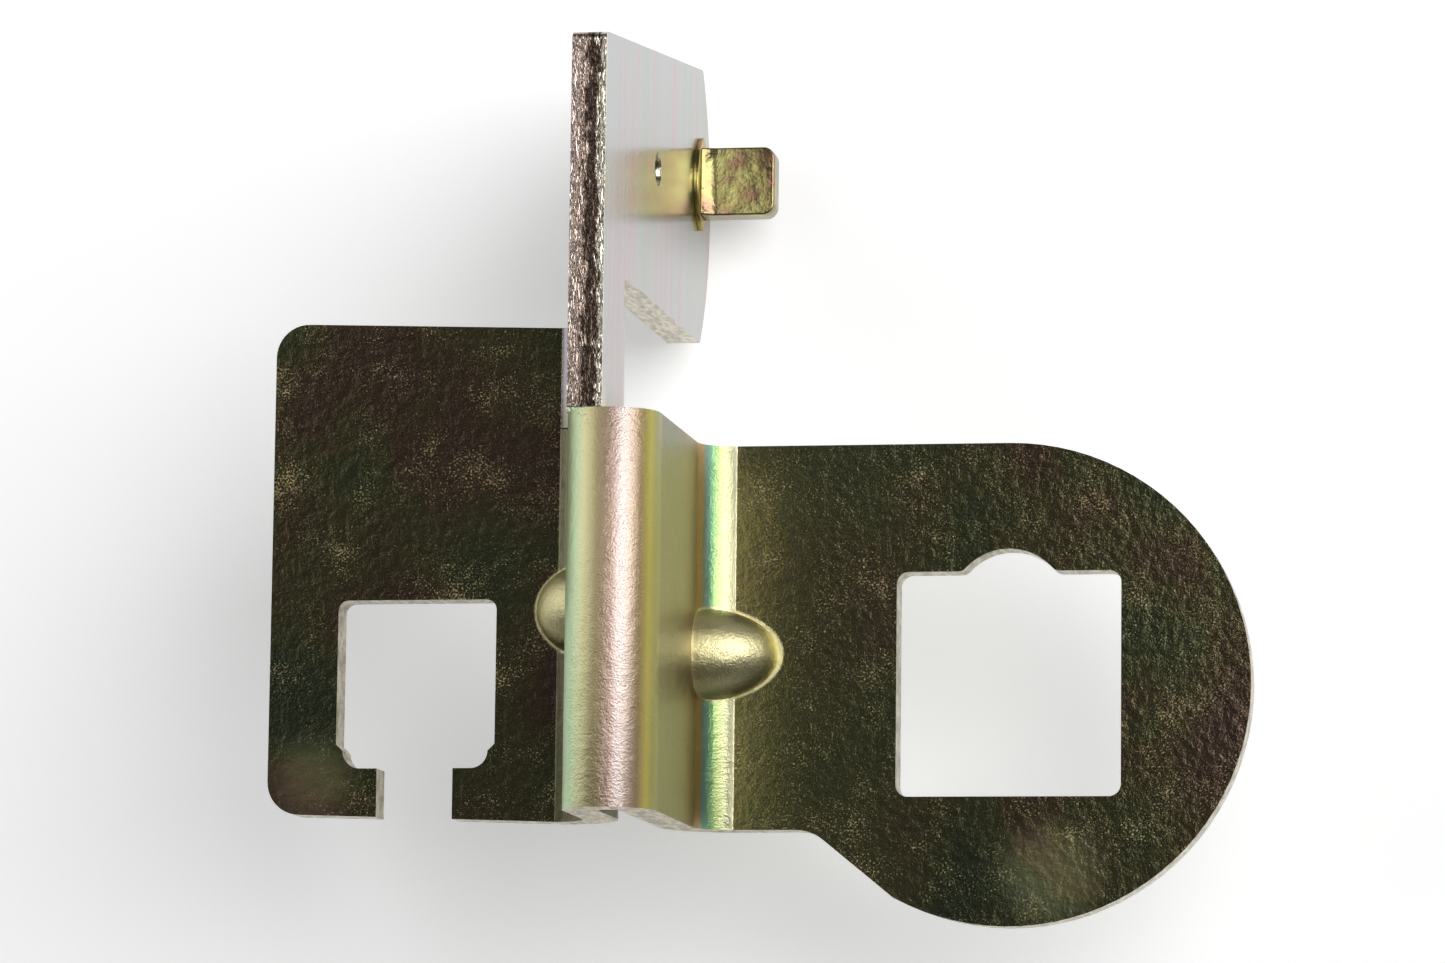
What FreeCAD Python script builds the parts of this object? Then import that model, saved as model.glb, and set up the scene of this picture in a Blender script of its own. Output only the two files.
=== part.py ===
"""Bent lock lever: one folded sheet with a T-slot plate, an ear and a square-hole plate,
and a small blade-ended peg with a thin collar riveted to the ear.

Frame, in millimetres: the origin is the centre of the square hole on the front face of the
round-ended plate, X runs along that plate away from the fold, Y along the fold, Z out of it.
"""
import FreeCAD, Part
import os
import Sketcher
from FreeCAD import Vector

DRIVING_SIZES = {
    # the sheet and its folds
    "sheet_thickness": 2.0,
    "bend_radius": 2.0,
    "fold_gap": 1.25,
    "fold_rise": 16.2,
    "fold_face": -17.95,
    "fold_bottom": -8.4,
    # the round-ended plate and its square hole
    "round_end_radius": 13.95,
    "neck_corner": -11.4,
    "neck_meeting": 6.6,
    "hole_side": 13.0,
    "hole_corner_radius": 0.7,
    "bump_radius": 3.4,
    "bump_rise": 1.3,
    "bump_blend": 0.6,
    "neck_blend": 2.5,
    # the raised plate and its T-slot
    "plate_step": 6.0,
    "plate_left": -42.1,
    "plate_top": 20.1,
    "plate_lean": 0.5,
    "plate_corner_radius": 1.9,
    "slot_centre": -33.45,
    "slot_width": 9.3,
    "slot_top": 4.4,
    "slot_shoulder": -5.3,
    "slot_mouth_width": 4.45,
    "slot_corner_radius": 0.6,
    "shoulder_step": 1.4,
    "shoulder_nib": 0.4,
    # the stem and the ear
    "ear_front": 14.3,
    "ear_back": -16.3,
    "ear_bulge": 3.0,
    "ear_top": 35.7,
    "ear_top_lean": 4.0,
    "ear_bottom": 22.7,
    "ear_corner_radius": 0.5,
    # the pressed gussets across the two concave bends
    "gusset_half_width": 2.7,
    "gusset_rise": 3.0,
    "gusset_wall_loss": 0.8,
    "right_gusset_reach": 4.6,
    "right_gusset_place": 1.75,
    "left_gusset_reach": 3.2,
    "left_gusset_place": 3.7,
    # the peg, its collar and the pressed dimple beside it
    "peg_place": 32.4,
    "peg_depth": -15.4,
    "peg_width": 4.2,
    "peg_thickness": 1.8,
    "peg_reach": 4.8,
    "peg_corner_radius": 0.7,
    "root_length": 1.0,
    "root_flare": 0.3,
    "tenon_width": 2.4,
    "tenon_thickness": 1.4,
    "rivet_head_radius": 1.7,
    "rivet_head_rise": 0.7,
    "rivet_head_round": 0.5,
    "collar_length": 5.8,
    "collar_width": 3.9,
    "collar_thickness": 0.3,
    "dimple_place": 30.8,
    "dimple_depth": -1.8,
    "dimple_radius": 1.0,
    "dimple_rise": 0.7,
    "dimple_pit": 0.7,
}

PLANE_ROLES = {"XY": "XY_Plane", "XZ": "XZ_Plane", "YZ": "YZ_Plane"}
TINY = 0.001


def make_sizes(document):
    """The sheet of driving sizes: a name in column A, its value in column B."""
    sheet = document.addObject("Spreadsheet::Sheet", "Sizes")
    for row, (name, value) in enumerate(DRIVING_SIZES.items(), start=1):
        sheet.set(f"A{row}", name)
        sheet.set(f"B{row}", str(value))
        sheet.setAlias(f"B{row}", name)
    document.recompute()
    return sheet


def new_body(document, label):
    body = document.addObject("PartDesign::Body", label)
    body.Label = label
    return body


def new_sketch(body, name, plane, level="0"):
    """A sketch on one of the body's own origin planes, moved along the plane's normal."""
    sketch = body.newObject("Sketcher::SketchObject", name)
    role = PLANE_ROLES[plane]
    support = [feature for feature in body.Origin.OriginFeatures if feature.Role == role]
    sketch.AttachmentSupport = [(support[0], "")]
    sketch.MapMode = "FlatFace"
    sketch.setExpression("AttachmentOffset.Base.z", level)
    return sketch


def value_of(sketch, expression):
    """The number that an expression of sheet sizes gives now."""
    result = sketch.evalExpression(expression)
    return float(getattr(result, "Value", result))


def pin(sketch, geometry, point, place):
    """Hold one point of a sketch at a place given as two expressions."""
    for kind, expression in zip(("DistanceX", "DistanceY"), place):
        value = value_of(sketch, expression)
        index = sketch.addConstraint(Sketcher.Constraint(kind, -1, 1, geometry, point, value))
        sketch.setExpression(f"Constraints[{index}]", expression)


def arc_geometry(start, end, radius, turn):
    """The circle arc from start to end; turn is 1 for a left turn and -1 for a right turn."""
    chord = end - start
    middle = (start + end) * 0.5
    rise = max(radius ** 2 - (chord.Length / 2) ** 2, 0) ** 0.5
    normal = Vector(-chord.y, chord.x, 0).normalize()
    centre = middle + normal * rise * turn
    first, last = (start, end) if turn > 0 else (end, start)
    begin = Vector(1, 0, 0).getAngle(first - centre)
    begin = begin if first.y >= centre.y else -begin
    finish = Vector(1, 0, 0).getAngle(last - centre)
    finish = finish if last.y >= centre.y else -finish
    circle = Part.Circle(centre, Vector(0, 0, 1), radius)
    return Part.ArcOfCircle(circle, begin, finish)


def draw_outline(sketch, corners):
    """A closed outline through corners (x, y) or (x, y, radius, turn).

    The last two say that the stretch up to that corner is an arc. Every corner is held by
    expressions, so the outline follows the sheet.
    """
    places = [Vector(value_of(sketch, c[0]), value_of(sketch, c[1]), 0) for c in corners]
    ends = []
    for index, corner in enumerate(corners):
        start, end = places[index - 1], places[index]
        if len(corner) == 2:
            geometry = sketch.addGeometry(Part.LineSegment(start, end), False)
            ends.append((geometry, 1, 2))
            continue
        radius_expression, turn = corner[2], corner[3]
        radius = value_of(sketch, radius_expression)
        arc = arc_geometry(start, end, radius, turn)
        geometry = sketch.addGeometry(arc, False)
        ends.append((geometry, 1, 2) if turn > 0 else (geometry, 2, 1))
        held = sketch.addConstraint(Sketcher.Constraint("Radius", geometry, radius))
        sketch.setExpression(f"Constraints[{held}]", radius_expression)
    for index, corner in enumerate(corners):
        geometry, _, last = ends[index]
        following, first, _ = ends[(index + 1) % len(ends)]
        sketch.addConstraint(Sketcher.Constraint("Coincident", geometry, last, following, first))
        pin(sketch, geometry, last, corner[:2])


def draw_circle(sketch, place, radius_expression):
    centre = Vector(value_of(sketch, place[0]), value_of(sketch, place[1]), 0)
    radius = value_of(sketch, radius_expression)
    geometry = sketch.addGeometry(Part.Circle(centre, Vector(0, 0, 1), radius), False)
    held = sketch.addConstraint(Sketcher.Constraint("Radius", geometry, radius))
    sketch.setExpression(f"Constraints[{held}]", radius_expression)
    pin(sketch, geometry, 3, place)


def pad(body, sketch, name, length, reverse=False):
    feature = body.newObject("PartDesign::Pad", name)
    feature.Profile = sketch
    feature.Reversed = reverse
    feature.setExpression("Length", length)
    body.Tip = feature
    body.Document.recompute()
    return feature


def pocket(body, sketch, name, length, reverse=False):
    """Cut a sketch away, and stop if it removed nothing."""
    before = body.Shape.Volume
    feature = body.newObject("PartDesign::Pocket", name)
    feature.Profile = sketch
    feature.Reversed = reverse
    feature.setExpression("Length", length)
    body.Tip = feature
    body.Document.recompute()
    if body.Shape.Volume > before - TINY:
        raise RuntimeError(f"{name} cuts nothing")
    return feature


def ellipsoid(body, kind, name, centre, radii):
    """An additive or subtractive ellipsoid; centre and radii are X, Y, Z expressions."""
    feature = body.newObject(f"PartDesign::{kind}Ellipsoid", name)
    for axis, expression in zip("xyz", centre):
        feature.setExpression(f"Placement.Base.{axis}", expression)
    feature.Angle1 = -90
    feature.Angle2 = 90
    feature.Angle3 = 360
    feature.setExpression("Radius2", radii[0])
    feature.setExpression("Radius3", radii[1])
    feature.setExpression("Radius1", radii[2])
    body.Tip = feature
    body.Document.recompute()
    return feature


def edges_near(shape, places, axis, reach=0.05):
    """Names of the straight edges along an axis whose middle passes through the places."""
    names = []
    others = [other for other in range(3) if other != axis]
    for number, edge in enumerate(shape.Edges, start=1):
        if edge.Degenerated or edge.Curve.TypeId != "Part::GeomLine":
            continue
        if abs(edge.Curve.Direction[axis]) < 0.999:
            continue
        middle = edge.CenterOfMass
        for place in places:
            gap = max(abs(middle[other] - coord) for other, coord in zip(others, place))
            if gap < reach:
                names.append(f"Edge{number}")
    return names


def fillet(body, base, name, places, axis, radius):
    """Round the edges along an axis at places given as pairs of expressions."""
    spots = [(value_of(body, a), value_of(body, b)) for a, b in places]
    names = edges_near(base.Shape, spots, axis)
    if len(names) < len(places):
        raise RuntimeError(f"{name} found {len(names)} edges for {len(places)} places")
    feature = body.newObject("PartDesign::Fillet", name)
    feature.Base = (base, names)
    feature.setExpression("Radius", radius)
    body.Tip = feature
    body.Document.recompute()
    return feature


# Shared levels and places, as expressions of the sheet
SHEET = "Sizes.sheet_thickness"
OUTER_BEND = "(Sizes.bend_radius + Sizes.sheet_thickness)"
LOOP_RADIUS = "(Sizes.fold_gap / 2 + Sizes.sheet_thickness)"
LOOP_CENTRE = f"(Sizes.fold_face - {LOOP_RADIUS})"
LOOP_LEVEL = f"(Sizes.fold_rise - {LOOP_RADIUS})"
WALL_BACK = "(Sizes.fold_face - Sizes.sheet_thickness)"
LEFT_FACE = f"({LOOP_CENTRE} - {LOOP_RADIUS})"
EAR_FACE = f"({LEFT_FACE} + {SHEET})"
RIGHT_BEND_END = "(Sizes.fold_face + Sizes.bend_radius)"
LEFT_BEND_END = f"({LEFT_FACE} - Sizes.bend_radius)"
LEFT_BEND_LEVEL = "(Sizes.plate_step + Sizes.bend_radius)"
FOLD_TOP = "Sizes.round_end_radius"
FOLD_LENGTH = f"({FOLD_TOP} - Sizes.fold_bottom)"
COLLAR_TOP = f"({EAR_FACE} + Sizes.collar_thickness)"
FAR = "100"


def add_gusset_domes(body):
    """Half-buried domes in both inside corners, trimmed to the corners they fill."""
    half_width = "Sizes.gusset_half_width"
    rise = "Sizes.gusset_rise"
    right_centre = ("Sizes.fold_face", "Sizes.right_gusset_place", "0")
    right_radii = ("Sizes.right_gusset_reach", half_width, rise)
    ellipsoid(body, "Additive", "RightGussetDome", right_centre, right_radii)
    left_centre = (LEFT_FACE, "Sizes.left_gusset_place", "Sizes.plate_step")
    left_radii = ("Sizes.left_gusset_reach", half_width, rise)
    ellipsoid(body, "Additive", "LeftGussetDome", left_centre, left_radii)
    trim = new_sketch(body, "GussetTrimSketch", "XZ", FAR)
    left_middle = f"{LEFT_FACE} + {SHEET} / 2"
    right_middle = f"Sizes.fold_face - {SHEET} / 2"
    draw_outline(trim, [
        (left_middle, FAR),
        (left_middle, f"Sizes.plate_step - {SHEET} / 2"),
        (f"-{FAR}", f"Sizes.plate_step - {SHEET} / 2"),
        (f"-{FAR}", f"-{FAR}"),
        (FAR, f"-{FAR}"),
        (FAR, f"-{SHEET} / 2"),
        (right_middle, f"-{SHEET} / 2"),
        (right_middle, FAR),
    ])
    pocket(body, trim, "GussetTrim", f"2 * {FAR}")


def add_left_bend(body):
    """The concave bend at the foot of the left wall, as long as the raised plate."""
    sketch = new_sketch(body, "LeftBendSketch", "XZ", "-Sizes.fold_bottom")
    draw_outline(sketch, [
        (LEFT_FACE, LEFT_BEND_LEVEL),
        (LEFT_BEND_END, "Sizes.plate_step", "Sizes.bend_radius", -1),
        (LEFT_BEND_END, f"Sizes.plate_step - {SHEET}"),
        (EAR_FACE, LEFT_BEND_LEVEL, OUTER_BEND, 1),
    ])
    pad(body, sketch, "LeftBend", "Sizes.plate_top - Sizes.fold_bottom", reverse=True)


def add_left_wall(body):
    sketch = new_sketch(body, "LeftWallSketch", "XZ", "-Sizes.fold_bottom")
    draw_outline(sketch, [
        (EAR_FACE, LOOP_LEVEL),
        (LEFT_FACE, LOOP_LEVEL),
        (LEFT_FACE, LEFT_BEND_LEVEL),
        (EAR_FACE, LEFT_BEND_LEVEL),
    ])
    pad(body, sketch, "LeftWall", FOLD_LENGTH, reverse=True)


def add_loop_and_right_wall(body):
    """The tight round top of the fold, the right wall and the concave bend at its foot."""
    sketch = new_sketch(body, "LoopSketch", "XZ", "-Sizes.fold_bottom")
    inner = "Sizes.fold_gap / 2"
    draw_outline(sketch, [
        (EAR_FACE, LOOP_LEVEL),
        (LOOP_CENTRE, f"{LOOP_LEVEL} + {inner}", inner, -1),
        (WALL_BACK, LOOP_LEVEL, inner, -1),
        (WALL_BACK, "Sizes.bend_radius"),
        (RIGHT_BEND_END, f"-{SHEET}", OUTER_BEND, 1),
        (RIGHT_BEND_END, "0"),
        ("Sizes.fold_face", "Sizes.bend_radius", "Sizes.bend_radius", -1),
        ("Sizes.fold_face", LOOP_LEVEL),
        (LOOP_CENTRE, "Sizes.fold_rise", LOOP_RADIUS, 1),
        (LEFT_FACE, LOOP_LEVEL, LOOP_RADIUS, 1),
    ])
    pad(body, sketch, "LoopAndRightWall", FOLD_LENGTH, reverse=True)


def add_raised_plate(body):
    """The left plate and its T-slot, open at the lower edge."""
    outline = new_sketch(body, "RaisedPlateSketch", "XY", "Sizes.plate_step")
    corners = [
        ("Sizes.plate_left", "Sizes.plate_top + Sizes.plate_lean"),
        ("Sizes.plate_left", "Sizes.fold_bottom + Sizes.plate_lean"),
    ]
    draw_outline(outline, corners + [
        (LEFT_BEND_END, "Sizes.fold_bottom"),
        (LEFT_BEND_END, "Sizes.plate_top"),
    ])
    plate = pad(body, outline, "RaisedPlate", SHEET, reverse=True)
    fillet(body, plate, "RaisedPlateCorners", corners, 2, "Sizes.plate_corner_radius")
    slot = new_sketch(body, "SlotSketch", "XY", "Sizes.plate_step + 1")
    centre = "Sizes.slot_centre"
    side = "(Sizes.slot_width / 2)"
    mouth = "(Sizes.slot_mouth_width / 2)"
    step_end = f"({side} - Sizes.shoulder_step)"
    nib = f"({side} - Sizes.shoulder_nib)"
    step_top = "Sizes.slot_shoulder + Sizes.shoulder_step"
    nib_level = f"{step_top} - Sizes.shoulder_nib"
    turn_radius = "Sizes.shoulder_step - Sizes.shoulder_nib"
    top_corners = [(f"{centre} + {side}", "Sizes.slot_top"), (f"{centre} - {side}", "Sizes.slot_top")]
    right = [
        (f"{centre} + {mouth}", "Sizes.fold_bottom - 1"),
        (f"{centre} + {mouth}", "Sizes.slot_shoulder"),
        (f"{centre} + {step_end}", "Sizes.slot_shoulder"),
        (f"{centre} + {nib}", nib_level, turn_radius, 1),
        (f"{centre} + {side}", step_top),
    ]
    left = [
        (f"{centre} - {side}", step_top),
        (f"{centre} - {nib}", nib_level),
        (f"{centre} - {step_end}", "Sizes.slot_shoulder", turn_radius, 1),
        (f"{centre} - {mouth}", "Sizes.slot_shoulder"),
        (f"{centre} - {mouth}", "Sizes.fold_bottom - 1"),
    ]
    draw_outline(slot, right + top_corners + left)
    cut = pocket(body, slot, "TSlot", f"{SHEET} + 2")
    fillet(body, cut, "TSlotCorners", top_corners, 2, "Sizes.slot_corner_radius")


def add_round_plate(body):
    """The right plate: an arm from the fold that runs into a round end."""
    sketch = new_sketch(body, "RoundPlateSketch", "XY")
    radius = "Sizes.round_end_radius"
    draw_outline(sketch, [
        (RIGHT_BEND_END, "Sizes.fold_bottom"),
        ("Sizes.neck_corner", "Sizes.fold_bottom"),
        ("-Sizes.neck_meeting", f"-sqrt({radius} ^ 2 - Sizes.neck_meeting ^ 2)"),
        (radius, "0", radius, 1),
        ("0", radius, radius, 1),
        (RIGHT_BEND_END, radius),
    ])
    plate = pad(body, sketch, "RoundPlate", SHEET, reverse=True)
    neck = [("Sizes.neck_corner", "Sizes.fold_bottom")]
    fillet(body, plate, "NeckCorner", neck, 2, "Sizes.neck_blend")


def add_square_hole(body):
    """The square hole with one round bump in the middle of its upper side."""
    square = new_sketch(body, "SquareHoleSketch", "XY", "1")
    half = "Sizes.hole_side / 2"
    corners = [(f"-{half}", f"-{half}"), (half, f"-{half}"), (half, half), (f"-{half}", half)]
    draw_outline(square, corners)
    cut = pocket(body, square, "SquareHole", f"{SHEET} + 2")
    fillet(body, cut, "SquareHoleCorners", corners, 2, "Sizes.hole_corner_radius")
    bump = new_sketch(body, "BumpSketch", "XY", "1")
    draw_circle(bump, ("0", f"{half} + Sizes.bump_rise - Sizes.bump_radius"), "Sizes.bump_radius")
    notch = pocket(body, bump, "Bump", f"{SHEET} + 2")
    chord = "sqrt(2 * Sizes.bump_radius * Sizes.bump_rise - Sizes.bump_rise ^ 2)"
    blends = [(chord, half), (f"-{chord}", half)]
    fillet(body, notch, "BumpBlends", blends, 2, "Sizes.bump_blend")


def add_ear(body):
    """The stem that carries on up from the left wall, and the flag at its end."""
    sketch = new_sketch(body, "EarSketch", "YZ", LEFT_FACE)
    chord_half = "((Sizes.ear_top + Sizes.ear_top_lean - Sizes.ear_bottom) / 2)"
    bulge_radius = f"({chord_half} ^ 2 + Sizes.ear_bulge ^ 2) / (2 * Sizes.ear_bulge)"
    far_bottom = ("Sizes.ear_bottom", "Sizes.ear_back")
    far_top = ("Sizes.ear_top + Sizes.ear_top_lean", "Sizes.ear_back")
    near_top = ("Sizes.ear_top", "Sizes.ear_front")
    draw_outline(sketch, [
        (FOLD_TOP, LEFT_BEND_LEVEL),
        ("Sizes.ear_bottom", LEFT_BEND_LEVEL),
        far_bottom,
        far_top + (bulge_radius, 1),
        near_top,
        (FOLD_TOP, "Sizes.ear_front"),
    ])
    ear = pad(body, sketch, "Ear", SHEET)
    fillet(body, ear, "EarCorners", [far_bottom, far_top, near_top], 0, "Sizes.ear_corner_radius")


def add_tenon_hole(body):
    """The slot in the ear that the peg's tenon is driven through."""
    sketch = new_sketch(body, "TenonHoleSketch", "YZ", f"{LEFT_FACE} - 1")
    draw_outline(sketch, tenon_corners())
    pocket(body, sketch, "TenonHole", f"{SHEET} + 2", reverse=True)


def tenon_corners():
    half_width = "Sizes.tenon_width / 2"
    half_thickness = "Sizes.tenon_thickness / 2"
    place = "Sizes.peg_place"
    depth = "Sizes.peg_depth"
    return [
        (f"{place} - {half_width}", f"{depth} - {half_thickness}"),
        (f"{place} + {half_width}", f"{depth} - {half_thickness}"),
        (f"{place} + {half_width}", f"{depth} + {half_thickness}"),
        (f"{place} - {half_width}", f"{depth} + {half_thickness}"),
    ]


def add_dimple(body):
    """The pressed pip on the ear's face and the pit behind it."""
    radius = "Sizes.dimple_radius"
    front = (EAR_FACE, "Sizes.dimple_place", "Sizes.dimple_depth")
    ellipsoid(body, "Additive", "DimplePip", front, ("Sizes.dimple_rise", radius, radius))
    back = (LEFT_FACE, "Sizes.dimple_place", "Sizes.dimple_depth")
    pit = f"{radius} * Sizes.dimple_pit"
    pit_depth = "Sizes.dimple_rise * Sizes.dimple_pit"
    ellipsoid(body, "Subtractive", "DimplePit", back, (pit_depth, pit, pit))


def gusset_hollow(body, name, corner, reach, place):
    """The pressed hollow behind a gusset, at the outer corner of its bend."""
    loss = "Sizes.gusset_wall_loss"
    radii = (f"{reach} - {loss}", f"Sizes.gusset_half_width - {loss}", f"Sizes.gusset_rise - {loss}")
    ellipsoid(body, "Subtractive", name, (corner[0], place, corner[1]), radii)


def make_lever_plate(document):
    """The one bent sheet, built from the left bend across to the round end."""
    body = new_body(document, "lever_plate")
    add_gusset_domes(body)
    add_left_bend(body)
    add_left_wall(body)
    left_corner = (EAR_FACE, f"Sizes.plate_step - {SHEET}")
    gusset_hollow(body, "LeftGussetHollow", left_corner,
                  "Sizes.left_gusset_reach", "Sizes.left_gusset_place")
    add_loop_and_right_wall(body)
    right_corner = (WALL_BACK, f"-{SHEET}")
    gusset_hollow(body, "RightGussetHollow", right_corner,
                  "Sizes.right_gusset_reach", "Sizes.right_gusset_place")
    add_raised_plate(body)
    add_round_plate(body)
    add_square_hole(body)
    add_ear(body)
    add_tenon_hole(body)
    add_dimple(body)
    return body


def make_peg_collar(document):
    """The thin pointed-oval collar between the ear's face and the foot of the blade."""
    body = new_body(document, "peg_collar")
    outline = new_sketch(body, "CollarSketch", "YZ", EAR_FACE)
    half_length = "(Sizes.collar_length / 2)"
    half_width = "(Sizes.collar_width / 2)"
    arc_radius = f"({half_length} ^ 2 + {half_width} ^ 2) / (2 * {half_width})"
    draw_outline(outline, [
        (f"Sizes.peg_place - {half_length}", "Sizes.peg_depth", arc_radius, 1),
        (f"Sizes.peg_place + {half_length}", "Sizes.peg_depth", arc_radius, 1),
    ])
    pad(body, outline, "Collar", "Sizes.collar_thickness")
    slot = new_sketch(body, "CollarSlotSketch", "YZ", f"{COLLAR_TOP} + 1")
    draw_outline(slot, tenon_corners())
    pocket(body, slot, "CollarSlot", "Sizes.collar_thickness + 2")
    return body


def make_spring_peg(document):
    """The blade, its flared foot, the tenon through collar and ear, and the riveted head."""
    body = new_body(document, "spring_peg")
    blade = new_sketch(body, "BladeSketch", "XZ", "-(Sizes.peg_place - Sizes.peg_width / 2)")
    half = "Sizes.peg_thickness / 2"
    flare = "Sizes.root_flare"
    flare_radius = f"(Sizes.root_length ^ 2 + {flare} ^ 2) / (2 * {flare})"
    root_end = f"{COLLAR_TOP} + Sizes.root_length"
    tip = f"{EAR_FACE} + Sizes.peg_reach"
    depth = "Sizes.peg_depth"
    draw_outline(blade, [
        (COLLAR_TOP, f"{depth} - {half} - {flare}"),
        (root_end, f"{depth} - {half}", flare_radius, -1),
        (tip, f"{depth} - {half}"),
        (tip, f"{depth} + {half}"),
        (root_end, f"{depth} + {half}"),
        (COLLAR_TOP, f"{depth} + {half} + {flare}", flare_radius, -1),
    ])
    solid = pad(body, blade, "Blade", "Sizes.peg_width", reverse=True)
    corners = [(tip, f"Sizes.peg_place {sign} Sizes.peg_width / 2") for sign in "+-"]
    fillet(body, solid, "BladeCorners", corners, 2, "Sizes.peg_corner_radius")
    tenon = new_sketch(body, "TenonSketch", "YZ", COLLAR_TOP)
    draw_outline(tenon, tenon_corners())
    pad(body, tenon, "Tenon", f"{SHEET} + Sizes.collar_thickness", reverse=True)
    head = new_sketch(body, "HeadSketch", "YZ", LEFT_FACE)
    draw_circle(head, ("Sizes.peg_place", "Sizes.peg_depth"), "Sizes.rivet_head_radius")
    disc = pad(body, head, "RivetHead", "Sizes.rivet_head_rise", reverse=True)
    rims = [f"Edge{number}" for number, edge in enumerate(disc.Shape.Edges, start=1)
            if edge.BoundBox.XMax < value_of(body, LEFT_FACE) - TINY]
    dome = body.newObject("PartDesign::Fillet", "RivetDome")
    dome.Base = (disc, rims)
    dome.setExpression("Radius", "Sizes.rivet_head_round")
    body.Tip = dome
    document.recompute()
    return body


def check_document(document):
    """Stop on any failed feature."""
    for item in document.Objects:
        if "Invalid" in item.State or "Error" in item.State:
            raise RuntimeError(f"{item.Label} failed: {item.State}")


def main():
    document = FreeCAD.newDocument("lever")
    make_sizes(document)
    bodies = [make_lever_plate(document), make_peg_collar(document), make_spring_peg(document)]
    document.recompute()
    check_document(document)
    os.makedirs("parts", exist_ok=True)
    for body in bodies:
        shape = body.Shape
        if shape.isNull() or not shape.isValid() or len(shape.Solids) != 1:
            raise RuntimeError(f"{body.Label} is not one valid solid")
        shape.exportStep(f"parts/{body.Label}.step")
        box = shape.BoundBox
        print(body.Label, round(shape.Volume, 2), [round(v, 2) for v in (
            box.XMin, box.XMax, box.YMin, box.YMax, box.ZMin, box.ZMax)])


main()
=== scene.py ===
"""Studio view of the bent lock lever: yellow zinc plated sheet over a plain white floor."""
import math
import bpy
from mathutils import Matrix, Vector


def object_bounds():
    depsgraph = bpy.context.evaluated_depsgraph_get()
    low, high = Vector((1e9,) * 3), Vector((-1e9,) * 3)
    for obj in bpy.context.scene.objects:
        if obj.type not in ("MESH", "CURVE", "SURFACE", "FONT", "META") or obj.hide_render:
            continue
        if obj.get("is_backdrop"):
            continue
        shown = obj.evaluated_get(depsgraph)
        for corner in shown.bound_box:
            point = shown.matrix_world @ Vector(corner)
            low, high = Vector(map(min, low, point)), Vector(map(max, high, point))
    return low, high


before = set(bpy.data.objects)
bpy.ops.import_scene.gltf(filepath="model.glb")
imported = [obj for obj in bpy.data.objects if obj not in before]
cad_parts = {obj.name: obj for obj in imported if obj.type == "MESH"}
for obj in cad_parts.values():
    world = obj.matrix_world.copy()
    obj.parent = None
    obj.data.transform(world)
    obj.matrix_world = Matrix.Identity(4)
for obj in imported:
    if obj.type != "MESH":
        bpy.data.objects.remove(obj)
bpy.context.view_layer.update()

MILLIMETRE = 0.001

# Levels and places on the lever, in millimetres
SHEET_THICKNESS = 2.0
LOOP_LEFT = -23.2
LOOP_RIGHT = -17.95
LOOP_LEVEL = 13.55
LEFT_BEND_END = -25.2
BEND_END = -15.95
FOLD_TOP = 13.95
RAISED_PLATE = 6.0
RAISED_PLATE_TOP = 20.3
STEM_EDGE_LEVEL = 14.0
RIGHT_GUSSET = {"centre": (LOOP_RIGHT, 1.75, 0.0), "radii": (4.6, 2.7, 3.0)}
LEFT_GUSSET = {"centre": (LOOP_LEFT, 3.7, RAISED_PLATE), "radii": (3.2, 2.7, 3.0)}

# Painted sheen over the yellow tint: the pressed domes are a lighter gold than the flat plates,
# standing in for the lamp light they catch.
GUSSET_GOLD_AND_SHEEN = (0.74, 0.68, 0.38, 1.0)
GRAIN_GOLD = (0.62, 0.50, 0.26, 1.0)
# Painted sheen: a lighter olive mixed into the right plate towards the fold, where the lamps'
# reflection spreads.
PLATE_SHEEN_BY_FOLD = (0.34, 0.32, 0.15, 1.0)


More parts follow.
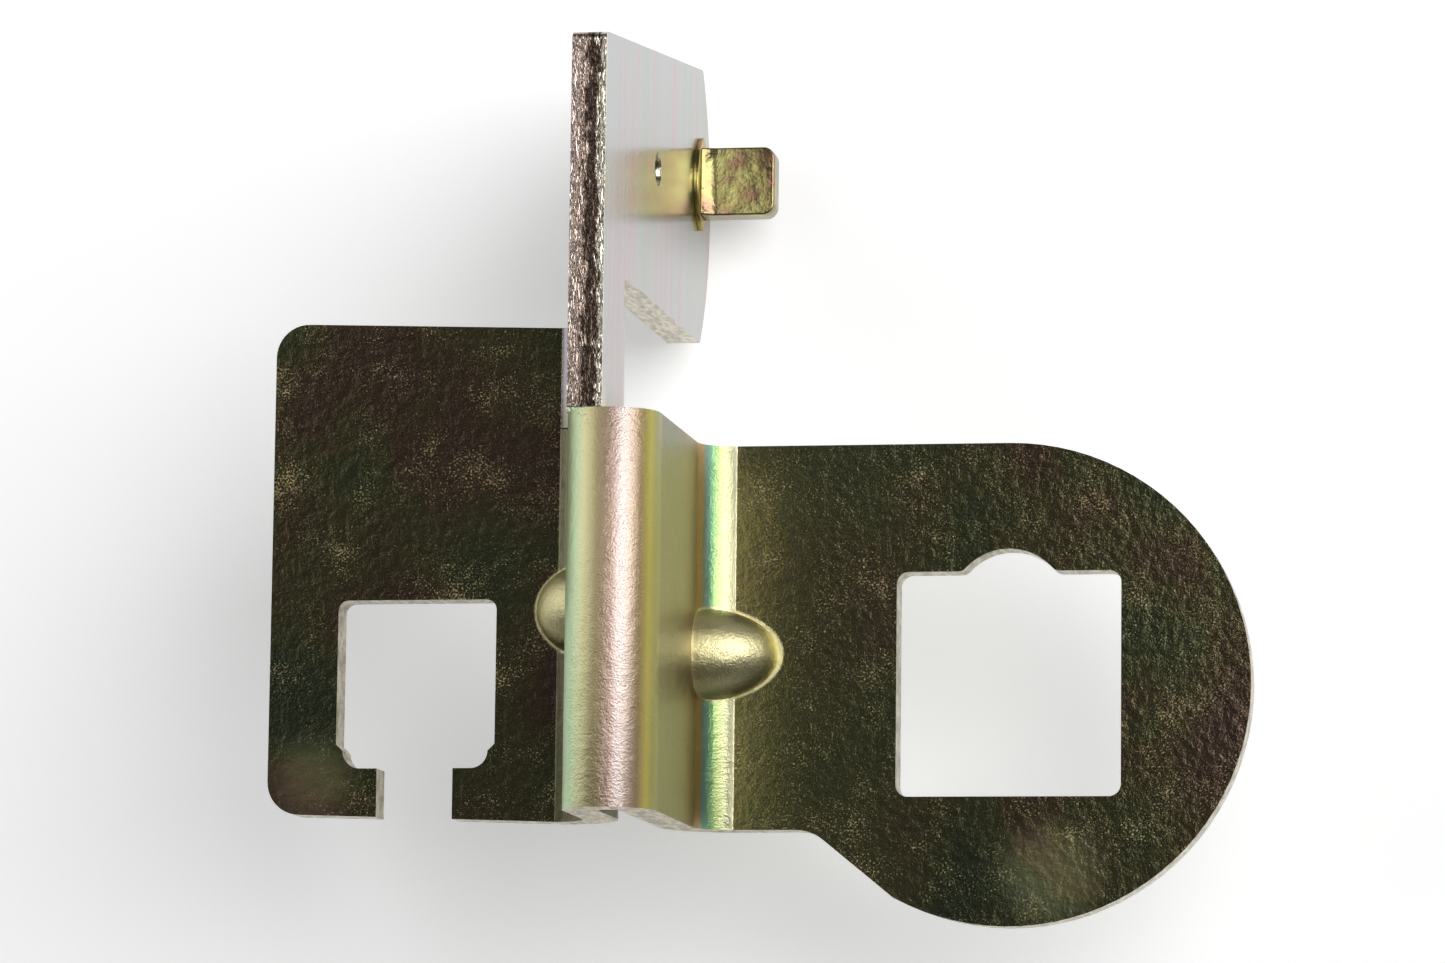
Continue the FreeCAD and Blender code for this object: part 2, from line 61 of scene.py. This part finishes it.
class Graph:
    """A small builder for one material's node tree; places are in millimetres."""

    def __init__(self, name):
        self.material = bpy.data.materials.new(name)
        self.material.use_nodes = True
        self.nodes = self.material.node_tree.nodes
        self.links = self.material.node_tree.links
        self.shader = self.nodes["Principled BSDF"]
        coordinates = self.nodes.new("ShaderNodeTexCoord")
        scaled = self.nodes.new("ShaderNodeVectorMath")
        scaled.operation = "SCALE"
        scaled.inputs["Scale"].default_value = 1 / MILLIMETRE
        self.links.new(coordinates.outputs["Object"], scaled.inputs[0])
        self.place = scaled.outputs["Vector"]
        self.x, self.y, self.z = self.split(self.place)
        geometry = self.nodes.new("ShaderNodeNewGeometry")
        self.normal_x, self.normal_y, self.normal_z = self.split(geometry.outputs["Normal"])

    def split(self, vector):
        node = self.nodes.new("ShaderNodeSeparateXYZ")
        self.links.new(vector, node.inputs[0])
        return node.outputs

    def feed(self, socket, value):
        """Link an output into a socket, or set the socket to a plain value."""
        if isinstance(value, bpy.types.NodeSocket):
            self.links.new(value, socket)
        else:
            socket.default_value = value

    def math(self, operation, first, second=0.0, clamp=False):
        node = self.nodes.new("ShaderNodeMath")
        node.operation = operation
        node.use_clamp = clamp
        self.feed(node.inputs[0], first)
        self.feed(node.inputs[1], second)
        return node.outputs[0]

    def above(self, value, edge, softness=0.05):
        """0 below the edge and 1 above it, with a short soft step."""
        node = self.nodes.new("ShaderNodeMapRange")
        node.interpolation_type = "SMOOTHSTEP"
        self.feed(node.inputs["Value"], value)
        node.inputs["From Min"].default_value = edge - softness
        node.inputs["From Max"].default_value = edge + softness
        return node.outputs["Result"]

    def opposite(self, value):
        """1 where the value is 0, and 0 where it is 1."""
        return self.math("SUBTRACT", 1.0, value)

    def stretched(self, scale):
        """The place with each axis scaled, to draw a pattern out along one of them."""
        node = self.nodes.new("ShaderNodeVectorMath")
        node.operation = "MULTIPLY"
        self.links.new(self.place, node.inputs[0])
        node.inputs[1].default_value = scale
        return node.outputs["Vector"]

    def noise(self, scale, detail=3.0, roughness=0.55, vector=None):
        node = self.nodes.new("ShaderNodeTexNoise")
        self.links.new(vector or self.place, node.inputs["Vector"])
        node.inputs["Scale"].default_value = scale
        node.inputs["Detail"].default_value = detail
        node.inputs["Roughness"].default_value = roughness
        return node.outputs["Fac"]

    def ramp(self, value, stops):
        node = self.nodes.new("ShaderNodeValToRGB")
        self.feed(node.inputs["Fac"], value)
        elements = node.color_ramp.elements
        while len(elements) < len(stops):
            elements.new(0.5)
        for element, (position, colour) in zip(elements, stops):
            element.position = position
            element.color = (*colour, 1.0)
        return node.outputs["Color"]

    def mix(self, factor, first, second, blend="MIX"):
        node = self.nodes.new("ShaderNodeMix")
        node.data_type = "RGBA"
        node.blend_type = blend
        self.feed(node.inputs[0], factor)
        self.feed(node.inputs[6], first)
        self.feed(node.inputs[7], second)
        return node.outputs[2]

    def span(self, value, low, high):
        """The value rescaled so that low is 0 and high is 1."""
        node = self.nodes.new("ShaderNodeMapRange")
        self.feed(node.inputs["Value"], value)
        node.inputs["From Min"].default_value = low
        node.inputs["From Max"].default_value = high
        return node.outputs["Result"]

    def bump(self, height, distance, strength=1.0, under=None):
        node = self.nodes.new("ShaderNodeBump")
        node.inputs["Strength"].default_value = strength
        node.inputs["Distance"].default_value = distance * MILLIMETRE
        self.feed(node.inputs["Height"], height)
        if under:
            self.links.new(under, node.inputs["Normal"])
        return node.outputs["Normal"]

    def finish(self, colour, roughness, normal, metallic=1.0):
        self.feed(self.shader.inputs["Base Color"], colour)
        self.feed(self.shader.inputs["Roughness"], roughness)
        self.feed(self.shader.inputs["Metallic"], metallic)
        self.links.new(normal, self.shader.inputs["Normal"])
        return self.material


def plate_colour(graph):
    """Patchy chromate on the flat plates: olive, green, brown and a little maroon, with a
    painted sheen that lightens the right plate towards the fold.
    """
    patches = graph.noise(0.11, 2.5, 0.5)
    colour = graph.ramp(patches, [
        (0.30, (0.11, 0.13, 0.08)),
        (0.44, (0.15, 0.16, 0.08)),
        (0.52, (0.18, 0.16, 0.08)),
        (0.60, (0.18, 0.13, 0.08)),
        (0.72, (0.18, 0.12, 0.09)),
    ])
    # Painted sheen: the right plate is lightened towards the fold.
    sheen_by_fold = graph.opposite(graph.above(graph.x, -8.0, 6.0))
    sheen_right_of_fold = graph.math("MULTIPLY", sheen_by_fold, graph.above(graph.x, -17.0))
    return graph.mix(graph.math("MULTIPLY", sheen_right_of_fold, 0.6), colour, PLATE_SHEEN_BY_FOLD)


def loop_tint_and_reflections(graph):
    """Bands along the round top of the fold: interference tint with painted reflections,
    lighter pale green and pink bands where the softboxes reflect and darker bands where the
    dark room reflects.
    """
    return graph.ramp(graph.span(graph.x, LOOP_LEFT, LOOP_RIGHT), [
        # Painted reflections over the interference tint: lighter bands where the softboxes
        # reflect, darker bands where the dark room reflects.
        (0.00, (0.50, 0.68, 0.42)),
        (0.16, (0.60, 0.74, 0.46)),
        (0.26, (0.70, 0.68, 0.38)),
        (0.42, (0.50, 0.40, 0.22)),
        (0.58, (0.50, 0.36, 0.30)),
        (0.68, (0.56, 0.47, 0.44)),
        (0.78, (0.50, 0.38, 0.30)),
        (0.86, (0.34, 0.25, 0.13)),
        (0.94, (0.52, 0.45, 0.11)),
        (1.00, (0.33, 0.33, 0.16)),
    ])


def bend_tint_and_highlight(graph):
    """Stripes down the right wall and round the concave bend at its foot; the pale end at the
    foot of the bend is a painted highlight where the right softbox reflects.
    """
    along = graph.math("SUBTRACT", graph.x, graph.z)
    return graph.ramp(graph.span(along, -31.5, BEND_END), [
        (0.00, (0.24, 0.23, 0.14)),
        (0.40, (0.22, 0.21, 0.12)),
        (0.68, (0.30, 0.22, 0.11)),
        (0.80, (0.52, 0.32, 0.15)),
        (0.85, (0.26, 0.48, 0.42)),
        (0.89, (0.34, 0.62, 0.26)),
        (0.93, (0.58, 0.66, 0.28)),
        # Painted highlight: pale yellow-white where the right softbox reflects in the bend.
        (1.00, (0.76, 0.74, 0.52)),
    ])


def ear_colour(graph):
    """Pale grey faces with long pink and green streaks down the ear."""
    streaks = graph.noise(1.0, 2.0, 0.5, graph.stretched((0.3, 0.02, 0.42)))
    return graph.ramp(streaks, [
        (0.35, (0.34, 0.38, 0.33)),
        (0.48, (0.38, 0.38, 0.39)),
        (0.56, (0.43, 0.32, 0.33)),
        (0.62, (0.38, 0.37, 0.38)),
        (0.72, (0.35, 0.38, 0.33)),
    ])


def scuffed_patch(graph, x, y, reach):
    """1 at the middle of a duller patch on a plate, fading out at its reach."""
    away = graph.math("POWER", graph.math("SUBTRACT", graph.x, x), 2.0)
    across = graph.math("POWER", graph.math("SUBTRACT", graph.y, y), 2.0)
    distance = graph.math("POWER", graph.math("ADD", away, across), 0.5)
    return graph.opposite(graph.above(distance, reach * 0.6, reach * 0.4))


def dome_mask(graph, centre, radii):
    """1 on a pressed dome, given as the middle and radii of its ellipsoid."""
    total = 0.0
    for axis, middle, radius in zip((graph.x, graph.y, graph.z), centre, radii):
        part = graph.math("DIVIDE", graph.math("SUBTRACT", axis, middle), radius)
        total = graph.math("ADD", graph.math("MULTIPLY", part, part), total)
    return graph.opposite(graph.above(total, 1.10, 0.06))


def stem_edge_tint_and_painted_light(graph, shear):
    """Across the ear's sheared edge: pinkish grains, a dark ragged band that is partly shear
    marks and partly painted reflection of the dark overhead, and a light rim that is a painted
    edge highlight.
    """
    across = graph.span(graph.x, LOOP_LEFT, LOOP_LEFT + SHEET_THICKNESS)
    wander = graph.math("MULTIPLY", graph.math("SUBTRACT", shear, 0.5), 0.9)
    ragged = graph.math("ADD", across, wander)
    return graph.ramp(ragged, [
        (0.20, (0.56, 0.44, 0.38)),
        (0.40, (0.44, 0.33, 0.26)),
        # Painted reflection: the dark band, over the ragged shear marks.
        (0.48, (0.07, 0.05, 0.04)),
        (0.78, (0.10, 0.07, 0.05)),
        # Painted highlight: the light rim along the edge.
        (0.86, (0.66, 0.60, 0.50)),
    ])


def sheet_masks(graph):
    """Masks of the sheared edges, the stem's edge, the ear, the flat plates and the gussets."""
    flat_left = graph.opposite(graph.above(graph.x, LEFT_BEND_END))
    flat_right = graph.above(graph.x, BEND_END)
    flat = graph.math("ADD", flat_left, flat_right, clamp=True)
    past_fold = graph.above(graph.y, FOLD_TOP + 0.3)
    ear = graph.math("MULTIPLY", graph.opposite(flat), past_fold)
    upper_ear = graph.math("MULTIPLY", ear, graph.above(graph.y, RAISED_PLATE_TOP))
    fold = graph.math("SUBTRACT", 1.0, graph.math("ADD", flat, ear, clamp=True), clamp=True)
    gusset_right = dome_mask(graph, **RIGHT_GUSSET)
    gusset_left = dome_mask(graph, **LEFT_GUSSET)
    gusset = graph.math("ADD", gusset_right, gusset_left, clamp=True)
    level = graph.math("SUBTRACT", flat, gusset, clamp=True)
    off_z = graph.math("LESS_THAN", graph.math("ABSOLUTE", graph.normal_z), 0.5)
    along_y = graph.math("GREATER_THAN", graph.math("ABSOLUTE", graph.normal_y), 0.9)
    off_x = graph.math("LESS_THAN", graph.math("ABSOLUTE", graph.normal_x), 0.5)
    edge_of_flat = graph.math("MULTIPLY", level, off_z)
    edge_of_fold = graph.math("MULTIPLY", fold, along_y)
    edge_of_fold = graph.math("SUBTRACT", edge_of_fold, gusset, clamp=True)
    edge_of_ear = graph.math("MULTIPLY", upper_ear, off_x)
    stem_edge = graph.math("MULTIPLY", ear, graph.above(graph.z, STEM_EDGE_LEVEL))
    cut = graph.math("ADD", edge_of_flat, edge_of_fold, clamp=True)
    cut = graph.math("ADD", cut, edge_of_ear, clamp=True)
    cut = graph.math("ADD", cut, stem_edge, clamp=True)
    return cut, stem_edge, ear, flat, gusset


def grain_mask(graph, ear):
    """1 on the gold grains where the plating has taken unevenly, with none on the ear."""
    grains = graph.noise(8.0, 3.0, 0.7)
    clusters = graph.noise(0.30, 4.0, 0.7)
    level = graph.math("ADD", grains, graph.math("MULTIPLY", clusters, 0.55))
    return graph.math("MULTIPLY", graph.above(level, 0.93, 0.03), graph.opposite(ear))


def sheet_colour(graph, shear, grain, masks):
    cut, stem_edge, ear, flat, gusset = masks
    on_loop = graph.above(graph.z, LOOP_LEVEL - 0.4, 0.4)
    folded = graph.mix(on_loop, bend_tint_and_highlight(graph), loop_tint_and_reflections(graph))
    faces = graph.mix(flat, folded, plate_colour(graph))
    # Painted sheen: light gold on the pressed domes, over their yellow tint.
    faces = graph.mix(gusset, faces, GUSSET_GOLD_AND_SHEEN)
    past_fold = graph.above(graph.y, FOLD_TOP + 1.0, 1.4)
    ear_tone = graph.math("SUBTRACT", past_fold, flat, clamp=True)
    faces = graph.mix(ear_tone, faces, ear_colour(graph))
    colour = graph.mix(graph.math("MULTIPLY", grain, 0.7), faces, GRAIN_GOLD)
    cut_colour = graph.ramp(shear, [
        (0.36, (0.24, 0.21, 0.14)),
        (0.49, (0.40, 0.35, 0.24)),
        (0.60, (0.58, 0.53, 0.40)),
    ])
    cut_colour = graph.mix(stem_edge, cut_colour, stem_edge_tint_and_painted_light(graph, shear))
    return graph.mix(cut, colour, cut_colour)


def sheet_roughness(graph, grain, curved, cut):
    foot_of_slot = scuffed_patch(graph, -39.5, -6.0, 3.6)
    foot_of_round_end = scuffed_patch(graph, 2.5, -11.0, 4.2)
    scuff = graph.math("ADD", foot_of_slot, foot_of_round_end)
    roughness = graph.math("ADD", 0.20, graph.math("MULTIPLY", grain, 0.32))
    for mask, extra in ((curved, 0.12), (cut, 0.06), (scuff, 0.16)):
        roughness = graph.math("ADD", roughness, graph.math("MULTIPLY", mask, extra))
    return roughness


def sheet_normal(graph, shear, curved, cut, ear):
    """Dents, grain, drawing lines and shear marks; the ear keeps a tenth of the first two."""
    fine = graph.noise(8.5, 3.0, 0.7)
    dents = graph.noise(1.5, 3.0, 0.55)
    draw = graph.noise(1.0, 3.0, 0.6, graph.stretched((2.4, 0.12, 2.4)))
    steady = graph.opposite(graph.math("MULTIPLY", ear, 0.9))
    grainy = graph.math("ADD", 0.25, graph.math("MULTIPLY", curved, 0.6))
    grain_height = graph.math("MULTIPLY", fine, graph.math("MULTIPLY", grainy, steady))
    normal = graph.bump(graph.math("MULTIPLY", dents, steady), 0.05)
    normal = graph.bump(grain_height, 0.045, under=normal)
    normal = graph.bump(draw, 0.006, under=normal)
    return graph.bump(graph.math("MULTIPLY", shear, cut), 0.10, under=normal)


def sheet_material():
    graph = Graph("yellow_zinc_sheet")
    masks = sheet_masks(graph)
    cut, _, ear, flat, gusset = masks
    grain = grain_mask(graph, ear)
    shear = graph.noise(1.0, 3.0, 0.6, graph.stretched((3.4, 1.0, 0.8)))
    curved = graph.opposite(graph.math("ADD", flat, ear, clamp=True))
    curved = graph.math("ADD", curved, gusset, clamp=True)
    colour = sheet_colour(graph, shear, grain, masks)
    roughness = sheet_roughness(graph, grain, curved, cut)
    return graph.finish(colour, roughness, sheet_normal(graph, shear, curved, cut, ear))


def peg_material():
    graph = Graph("yellow_zinc_peg")
    patches = graph.noise(0.7, 3.0, 0.55)
    colour = graph.ramp(patches, [
        (0.34, (0.32, 0.30, 0.12)),
        (0.50, (0.27, 0.23, 0.10)),
        (0.64, (0.28, 0.17, 0.11)),
    ])
    normal = graph.bump(graph.noise(1.4, 3.0, 0.5), 0.05)
    normal = graph.bump(graph.noise(5.0, 3.0, 0.6), 0.012, under=normal)
    roughness = graph.math("ADD", 0.16, graph.math("MULTIPLY", graph.noise(2.2), 0.12))
    return graph.finish(colour, roughness, normal)


def collar_material():
    graph = Graph("yellow_zinc_collar")
    colour = graph.ramp(graph.noise(0.9, 2.0, 0.5), [
        (0.36, (0.50, 0.44, 0.14)),
        (0.62, (0.42, 0.28, 0.10)),
    ])
    normal = graph.bump(graph.noise(4.0, 3.0, 0.6), 0.015)
    return graph.finish(colour, 0.26, normal)


def dress_node(name, material, edge_width):
    """Give a CAD node its material and a rounded edge of at most the given width.

    The width is in millimetres. The overlap clamp stays on and cuts it where edges crowd,
    which on the lever leaves about 0.01 mm.
    """
    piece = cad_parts[name]
    piece.data.materials.clear()
    piece.data.materials.append(material)
    seams = piece.modifiers.new("closed_seams", "WELD")
    seams.merge_threshold = 0.001 * MILLIMETRE
    flats = piece.modifiers.new("joined_flats", "DECIMATE")
    flats.decimate_type = "DISSOLVE"
    flats.angle_limit = math.radians(0.5)
    edge = piece.modifiers.new("worn_edge", "BEVEL")
    edge.width = edge_width * MILLIMETRE
    edge.segments = 3
    edge.limit_method = "ANGLE"
    edge.angle_limit = math.radians(40)
    edge.harden_normals = True


def make_floor():
    """A plain white floor just under the lowest corner of the part; it glows a little."""
    low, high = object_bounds()
    half = 0.8
    mesh = bpy.data.meshes.new("floor")
    corners = [(-half, -half, 0), (half, -half, 0), (half, half, 0), (-half, half, 0)]
    mesh.from_pydata(corners, [], [(0, 1, 2, 3)])
    floor = bpy.data.objects.new("floor", mesh)
    floor.location = ((low.x + high.x) / 2, (low.y + high.y) / 2, low.z - 0.5 * MILLIMETRE)
    bpy.context.scene.collection.objects.link(floor)
    graph = Graph("floor_white")
    tone = graph.ramp(graph.noise(0.02), [(0.3, (0.90, 0.90, 0.90)), (0.7, (0.93, 0.93, 0.93))])
    graph.shader.inputs["Emission Color"].default_value = (1.0, 1.0, 1.0, 1.0)
    graph.shader.inputs["Emission Strength"].default_value = 0.32
    mesh.materials.append(graph.finish(tone, 0.9, graph.bump(graph.noise(0.8), 0.01), 0.0))
    floor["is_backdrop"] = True


def add_softbox(name, direction, distance, width, height, watts):
    """A rectangular studio light that faces the middle of the part, sizes in metres."""
    low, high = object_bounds()
    centre = (low + high) / 2
    back = Vector(direction).normalized()
    light = bpy.data.lights.new(name, "AREA")
    light.shape = "RECTANGLE"
    light.size = width
    light.size_y = height
    light.energy = watts
    lamp = bpy.data.objects.new(name, light)
    lamp.location = centre + back * distance
    lamp.rotation_mode = "QUATERNION"
    lamp.rotation_quaternion = (-back).to_track_quat("-Z", "Y")
    bpy.context.scene.collection.objects.link(lamp)


def make_lights():
    world = bpy.data.worlds.new("dark_room")
    world.use_nodes = True
    background = world.node_tree.nodes["Background"]
    background.inputs["Color"].default_value = (0.9, 0.95, 1.0, 1.0)
    background.inputs["Strength"].default_value = 0.06
    bpy.context.scene.world = world
    add_softbox("softbox_right", direction=(0.56, 0.24, 0.79), distance=0.55,
                width=0.38, height=0.50, watts=2.80)
    add_softbox("softbox_left", direction=(-0.86, 0.30, 0.48), distance=0.60,
                width=0.60, height=0.80, watts=1.60)
    bpy.context.scene.view_settings.view_transform = "Standard"


def make_camera():
    """The camera stands a little right of and below the plates and looks down on them."""
    distance = 354.987 * MILLIMETRE
    lean_right = math.radians(10.0762)
    lean_down = math.radians(7.9309)
    roll = math.radians(0.69)
    aim = Vector((-16.8, 11.9, 0.0)) * MILLIMETRE
    camera = bpy.data.objects.new("camera", bpy.data.cameras.new("camera"))
    camera.data.sensor_width = 36.0
    camera.data.lens = 152.1
    camera.data.clip_start = 0.01
    back = Vector((math.tan(lean_right), -math.tan(lean_down), 1)).normalized()
    right = Vector((0, 1, 0)).cross(back).normalized()
    up = back.cross(right)
    rolled_right = right * math.cos(roll) + up * math.sin(roll)
    rolled_up = back.cross(rolled_right)
    turn = Matrix((rolled_right, rolled_up, back)).transposed().to_4x4()
    camera.matrix_world = Matrix.Translation(aim + back * distance) @ turn
    bpy.context.scene.collection.objects.link(camera)
    bpy.context.scene.camera = camera


dress_node("lever_plate", sheet_material(), edge_width=0.22)
dress_node("spring_peg", peg_material(), edge_width=0.18)
dress_node("peg_collar", collar_material(), edge_width=0.05)
make_floor()
make_lights()
make_camera()
